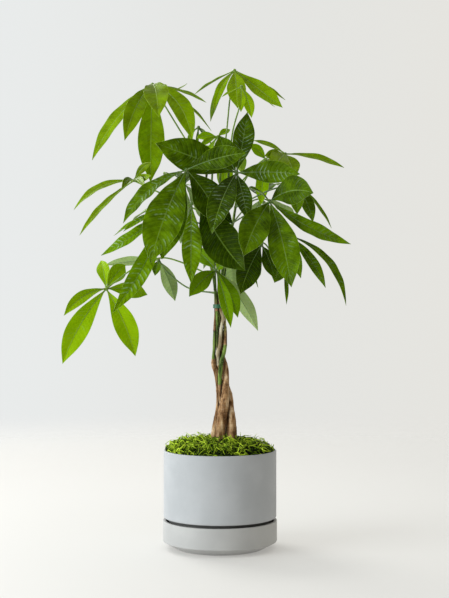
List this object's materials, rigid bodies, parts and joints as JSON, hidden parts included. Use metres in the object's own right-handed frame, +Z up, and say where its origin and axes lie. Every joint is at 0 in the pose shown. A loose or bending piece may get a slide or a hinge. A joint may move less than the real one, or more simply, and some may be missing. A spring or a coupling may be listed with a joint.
{
  "type": "potted money tree",
  "caption": "House plant with a braided trunk and drooping hand-shaped leaves, growing in a plain stoneware pot that stands in a deep saucer; its flat foot rests on a table or floor.",
  "frame": {"origin": "middle of the saucer's flat underside", "axes": "+Z up along the pot's axis, -Y towards the front view, +X to the right seen from the front"},
  "size_m": [0.4454, 0.4, 0.7598],
  "materials": {
    "saucer_stoneware": "matt, fine grained",
    "pot_stoneware": "matt, fine grained",
    "soil": "loose bark and peat",
    "moss": "curly fibres",
    "bark": "smooth young bark with pale scars",
    "tie_plastic": "thin flexible band",
    "young_leaf": "soft satin",
    "old_leaf": "waxy gloss"
  },
  "bodies": {
    "root": {"saucer": "saucer_stoneware", "pot": "pot_stoneware", "soil": "soil", "moss": "moss", "stem_left_front": "bark", "stem_middle": "bark", "stem_right_front": "bark", "stem_left_back": "bark", "stem_right_back": "bark", "tie": "tie_plastic", "leaf_top_left": "young_leaf", "leaf_top": "young_leaf", "leaf_top_small": "young_leaf", "leaf_young": "young_leaf", "leaf_bud": "old_leaf", "leaf_far_left": "young_leaf", "leaf_front_left": "old_leaf", "leaf_front_middle": "old_leaf", "leaf_mid_left": "old_leaf", "leaf_hanging": "old_leaf", "leaf_low_left": "young_leaf", "leaf_low_left_back": "old_leaf", "leaf_low_middle": "old_leaf", "leaf_front_right": "old_leaf", "leaf_right_back": "old_leaf", "leaf_low_right": "old_leaf", "leaf_low_right_back": "old_leaf", "leaf_inner_right": "old_leaf", "leaf_inner_left": "old_leaf", "leaf_upper_right": "young_leaf", "leaf_sunlit": "young_leaf", "leaf_back_right": "old_leaf", "leaf_back_left": "old_leaf", "leaf_back_top": "young_leaf", "leaf_back_low": "old_leaf"}
  },
  "joints": []
}
